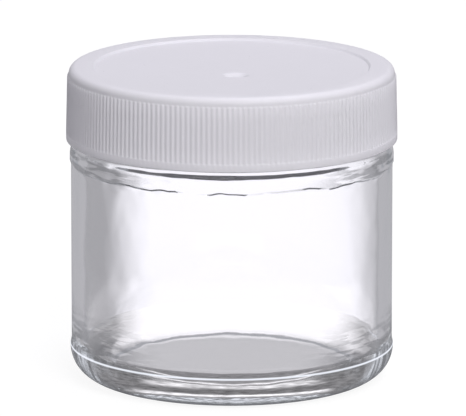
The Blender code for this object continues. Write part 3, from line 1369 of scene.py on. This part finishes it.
@dataclass(frozen=True)
class Surroundings:
    """Soft walls round the jar: pale bays between greyer ones, so that glass has edges from every side.

    Args:
        bays: Number of pale bays.
        bay: Brightness across a bay, by the angle in degrees from its middle.
        front: The same across the bay behind the jar as the camera sees it.
        ambient: Brightness of the even light on matt surfaces from the level.
        overhead: The same from straight above.
        mirrored: Brightness of the walls in reflections.
        thin: Brightness of the walls through one wall of glass.
        walls_crossed: Number of faces crossed after which a ray has come through the whole jar.
        mirrorings: Number of further turns of a ray after which it counts as mirrored.
        tint: Colour of the walls.
        steep: Brightness far above the horizon, as a share.
        steep_from: Elevations in degrees where it begins to fall and has fallen.
    """

    bays: int = 8
    bay: tuple[Point, ...] = (
        (-22.5, 0.30), (-9.0, 0.30), (-5.0, 1.14), (5.0, 1.14), (9.0, 0.70), (22.5, 0.30),
    )
    front: tuple[Point, ...] = (
        (-40.0, 0.14), (-31.0, 0.14), (-24.0, 0.21), (-19.0, 0.29), (-9.0, 0.36), (-7.3, 0.49),
        (-6.0, 0.69), (-4.1, 1.04), (-3.2, 1.14), (6.5, 1.14), (7.6, 1.09), (9.4, 0.95),
        (13.5, 0.73), (20.0, 0.62), (26.0, 0.30), (40.0, 0.14),
    )
    ambient: float = 0.225
    overhead: float = 0.575
    mirrored: float = 0.48
    thin: float = 0.30
    walls_crossed: float = 2.5
    mirrorings: float = 1.5
    tint: Colour = (0.985, 0.975, 1.03)
    steep: float = 0.6
    steep_from: Point = (38.0, 52.0)

    def make(self) -> None:
        """Make the world."""
        world = bpy.data.worlds.new("studio")
        world.use_nodes = True
        bpy.context.scene.world = world
        tree = world.node_tree
        x, y, z = split(tree, tree.nodes.new("ShaderNodeTexCoord").outputs["Generated"])
        bays = self._bays(tree, x.maths("ARCTAN2", y), z.maths("ARCSINE"))
        lift = z.held() * (self.overhead - self.ambient) + self.ambient
        even, mirror, pane = (
            add_node(tree, "ShaderNodeBackground", Color=(*self.tint, 1), Strength=level)
            for level in (lift, self.mirrored, self.thin)
        )
        white = add_node(tree, "ShaderNodeBackground", Color=(1, 1, 1, 1), Strength=1.0)
        path = tree.nodes.new("ShaderNodeLightPath")
        crossed = Term(tree, path.outputs["Transmission Depth"])
        through = mix_shaders(tree, crossed.maths("GREATER_THAN", self.walls_crossed), pane, bays)
        turns = Term(tree, path.outputs["Ray Depth"]) - crossed
        clear = mix_shaders(tree, turns.maths("GREATER_THAN", self.mirrorings), through, mirror)
        shown = mix_shaders(tree, seen_in_glass(tree, path), even, clear)
        last = mix_shaders(tree, path.outputs["Is Camera Ray"], shown, white)
        tree.links.new(last.outputs[0], tree.nodes["World Output"].inputs["Surface"])

    def _bays(self, tree: Tree, bearing: Term, elevation: Term) -> Node:
        """The pale bays all round.

        Args:
            tree: The world's node tree.
            bearing: Angle about the vertical.
            elevation: Angle above the horizon.

        Returns:
            Their shader.
        """
        width = math.tau / self.bays
        steep = elevation.step(*(math.radians(angle) for angle in self.steep_from))
        strength = 1 - steep * (1 - self.steep)
        around = self._wall(tree, bearing.maths("WRAP", width / 2, -width / 2), self.bay, strength)
        ahead = self._wall(tree, bearing, self.front, strength)
        end = math.radians(self.front[-1][0])
        aside = bearing.maths("ABSOLUTE").maths("GREATER_THAN", end)
        return mix_shaders(tree, aside, ahead, around)

    def _wall(self, tree: Tree, bearing: Term, levels: tuple[Point, ...], strength: Term) -> Node:
        """A stretch of the walls.

        Args:
            tree: The world's node tree.
            bearing: Angle from the middle of the stretch.
            levels: Brightness by that angle in degrees.
            strength: Factor of the brightness.

        Returns:
            Its background node.
        """
        colour = graded(tree, bearing * math.degrees(1), levels, self.tint)
        return add_node(tree, "ShaderNodeBackground", Color=colour, Strength=strength)


@dataclass(frozen=True)
class Floor:
    """Plain pale floor. Glass sees only the part that the jar stands on, painted with its shadow.

    A range gives the distance where something begins and the distance where it is full.

    Args:
        half: Half its width.
        colour: Colour of its paint.
        shown_colour: Colour of the paint that shows the jar's shadow to the camera.
        own_light: Brightness that is added to that paint.
        rings: Painted shade by rings under the jar through the glass, by the distance in millimetres
            from the axis.
        shadow: Radius of the jar's painted shadow on the floor through the glass.
        shadow_ahead: How far its middle lies before the axis.
        pool: Radius of the painted pool of paler light inside that shadow.
        pool_behind: How far its middle lies behind the axis.
        pool_level: Its brightness.
        lit_level: Brightness of the painted light outside the shadow.
        side_level: Brightness of the painted rings to the jar's sides.
        side: Range to either side over which the rings grey.
        near: Range towards the axis over which that greying sets in.
        mottle: Share by which the rings' brightness varies.
        mottle_size: Radial size of their mottling's spots.
        mottle_spread: Length that a radian of their mottling stands for.
        pool_edge: Width of the soft edge of the pool.
        shadow_edge: Width of the soft edge of the shadow.
        strip_middle: Middle of the painted lit strip behind the jar, to the right of the axis.
        strip: Range towards its middle over which it turns pale.
        fade: Range from the axis over which the floor fades in the glass.
        drop: How far it lies below the foot.
        tint: Colour of the floor through the glass.
    """

    half: float = 6.0
    colour: Colour = (0.45, 0.45, 0.45)
    shown_colour: Colour = (0.16, 0.16, 0.16)
    own_light: float = 0.9
    rings: tuple[Point, ...] = (
        (0.0, 0.14), (19.4, 0.18), (19.9, 0.32), (20.4, 0.36), (20.8, 1.05), (21.4, 1.10),
        (21.9, 0.22), (22.5, 0.17), (23.5, 0.18), (24.0, 0.32), (24.5, 0.78), (25.5, 0.78),
        (26.0, 0.50), (28.0, 0.50), (29.0, 0.36), (50.0, 0.36),
    )
    shadow: float = 33 * MM
    shadow_ahead: float = 10 * MM
    pool: float = 23 * MM
    pool_behind: float = 13 * MM
    pool_level: float = 0.63
    lit_level: float = 1.18
    side_level: float = 0.19
    side: Point = (13 * MM, 18 * MM)
    near: Point = (30 * MM, 28 * MM)
    mottle: float = 0.6
    mottle_size: float = 0.6 * MM
    mottle_spread: float = 5 * MM
    pool_edge: float = 1.0 * MM
    shadow_edge: float = 4.5 * MM
    strip_middle: float = 2 * MM
    strip: Point = (27 * MM, 18 * MM)
    fade: Point = (46 * MM, 50 * MM)
    drop: float = 0.04 * MM
    tint: Colour = (1.0, 0.985, 1.02)

    def make(self) -> None:
        """Make the floor and its material."""
        mesh = bpy.data.meshes.new("floor")
        corners = [(-1, -1), (1, -1), (1, 1), (-1, 1)]
        places = [(x * self.half, y * self.half, -self.drop) for x, y in corners]
        mesh.from_pydata(places, [], [(0, 1, 2, 3)])
        floor = bpy.data.objects.new("floor", mesh)
        bpy.context.scene.collection.objects.link(floor)
        mesh.materials.append(self.material())

    def material(self) -> Material:
        """Make the material: white with a shadow for the camera, painted shade under the jar through
        glass.

        Returns:
            The material.
        """
        material = bpy.data.materials.new("floor_white")
        material.use_nodes = True
        tree = material.node_tree
        tree.nodes.remove(tree.nodes["Principled BSDF"])
        path = tree.nodes.new("ShaderNodeLightPath")
        paint = add_node(tree, "ShaderNodeBsdfDiffuse", Color=(*self.colour, 1))
        shade = add_node(tree, "ShaderNodeBsdfDiffuse", Color=(*self.shown_colour, 1))
        glow = emission(tree, (1, 1, 1), self.own_light)
        shown = tree.nodes.new("ShaderNodeAddShader")
        tree.links.new(shade.outputs[0], shown.inputs[0])
        tree.links.new(glow.outputs[0], shown.inputs[1])
        plain = mix_shaders(tree, path.outputs["Is Camera Ray"], paint, shown)
        through = self._through_glass(tree)
        last = mix_shaders(tree, seen_in_glass(tree, path), plain, through)
        tree.links.new(last.outputs[0], tree.nodes["Material Output"].inputs["Surface"])
        return material

    def _through_glass(self, tree: Tree) -> Node:
        """The floor as glass sees it, with a painted shadow and a painted pool of light.

        Args:
            tree: The floor's node tree.

        Returns:
            Its shader.
        """
        place = tree.nodes.new("ShaderNodeTexCoord").outputs["Object"]
        sideways, back, _ = split(tree, place)
        away = self._distance(tree, place, 0)
        # Painted shadow of the jar for glass rays: emission rings and a paler pool inside it, painted
        # light outside it.
        rings = self._rings(tree, sideways, back, away)
        pool = emission(tree, self.tint, self.pool_level)
        lit = emission(tree, self.tint, self.lit_level)
        behind = self._distance(tree, place, -self.pool_behind)
        shadow = mix_shaders(tree, behind.step(self.pool - self.pool_edge, self.pool), pool, rings)
        ahead = self._distance(tree, place, self.shadow_ahead)
        edge = ahead.step(self.shadow - self.shadow_edge, self.shadow)
        edge = edge * (sideways - self.strip_middle).maths("ABSOLUTE").step(*self.strip)
        under = mix_shaders(tree, edge, shadow, lit)
        clear = tree.nodes.new("ShaderNodeBsdfTransparent")
        return mix_shaders(tree, away.step(*self.fade), under, clear)

    def _rings(self, tree: Tree, sideways: Term, back: Term, away: Term) -> Node:
        """The mottled rings of painted shadow under the jar, which grey to its sides.

        Args:
            tree: The floor's node tree.
            sideways: Distance to the right of the axis.
            back: Distance behind it.
            away: Distance from it.

        Returns:
            Their shader.
        """
        bearing = sideways.maths("ARCTAN2", 0 - back)
        drawn = add_node(tree, "ShaderNodeCombineXYZ", X=away, Y=bearing * self.mottle_spread, Z=0.0)
        grain = noise(tree, drawn.outputs[0], self.mottle_size, detail=2.0)
        mottled = about(1, self.mottle, grain)
        rings = graded(tree, away / MM, self.rings, self.tint)
        banded = add_node(tree, "ShaderNodeEmission", Color=rings, Strength=mottled)
        plain_side = emission(tree, self.tint, mottled * self.side_level)
        greying = sideways.maths("ABSOLUTE").step(*self.side) * away.step(*self.near)
        return mix_shaders(tree, greying, banded, plain_side)

    def _distance(self, tree: Tree, place: Socket, ahead: float) -> Term:
        """Distance of a place from a point before the axis.

        Args:
            tree: The floor's node tree.
            place: The place.
            ahead: How far the point lies before the axis.

        Returns:
            The distance as a term.
        """
        node = tree.nodes.new("ShaderNodeVectorMath")
        node.operation = "DISTANCE"
        tree.links.new(place, node.inputs[0])
        node.inputs[1].default_value = (0, -ahead, 0)
        return Term(tree, node.outputs["Value"])


def add_lamp(lamp: Lamp, aim: float = 30 * MM) -> None:
    """Add a soft square lamp that looks at the jar's axis.

    Args:
        lamp: Which lamp it is.
        aim: Height on the axis that it looks at.
    """
    direction, distance, width, radiance, colour = lamp.value
    data = bpy.data.lights.new(lamp.name.lower(), "AREA")
    data.shape = "SQUARE"
    data.size = width
    data.energy = radiance * math.pi * width ** 2
    data.color = colour
    target = Vector((0, 0, aim))
    light = bpy.data.objects.new(lamp.name.lower(), data)
    light.location = target + Vector(direction).normalized() * distance
    light.rotation_euler = (target - light.location).to_track_quat("-Z", "Y").to_euler()
    light.visible_transmission = False
    light.visible_glossy = False
    bpy.context.scene.collection.objects.link(light)


@dataclass(frozen=True)
class Camera:
    """Camera with a long lens a little above the jar.

    Args:
        elevation: Angle above the horizon in degrees.
        distance: Distance to the middle of the object.
        middle: Height of that middle.
        lens_mm: Focal length.
        sensor_mm: Width of the sensor.
        right: How far the aim lies to the right of the middle.
        above: How far the aim lies above the middle.
    """

    elevation: float = 12.73
    distance: float = 1.24
    middle: float = 27.12 * MM
    lens_mm: float = 560.2
    sensor_mm: float = 36.0
    right: float = 0.214 * MM
    above: float = 1.915 * MM

    def make(self) -> None:
        """Make the camera and set it as the scene's."""
        tilt = math.radians(self.elevation)
        target = Vector((0, 0, self.middle))
        place = target + Vector((0, -math.cos(tilt), math.sin(tilt))) * self.distance
        aim = target + Vector((self.right, 0, 0))
        aim += Vector((0, math.sin(tilt), math.cos(tilt))) * self.above
        data = bpy.data.cameras.new("camera")
        data.lens = self.lens_mm
        data.sensor_width = self.sensor_mm
        camera = bpy.data.objects.new("camera", data)
        camera.location = place
        camera.rotation_euler = (aim - place).to_track_quat("-Z", "Y").to_euler()
        bpy.context.scene.collection.objects.link(camera)
        bpy.context.scene.camera = camera


def main() -> None:
    """Build the pieces and the studio in order."""
    logging.basicConfig(level=logging.INFO, format="%(name)s: %(message)s")
    Camera().make()
    thread = Thread()
    tree = TurningTree(thread)
    jar = GlassJar(thread)
    liner = Liner(jar)
    cap = ScrewCap(liner)
    for piece in (jar, liner, cap):
        piece.build(tree)
    Floor().make()
    Surroundings().make()
    for lamp in Lamp:
        add_lamp(lamp)
    bpy.context.scene.view_settings.view_transform = "Standard"


if __name__ == "__main__":
    main()
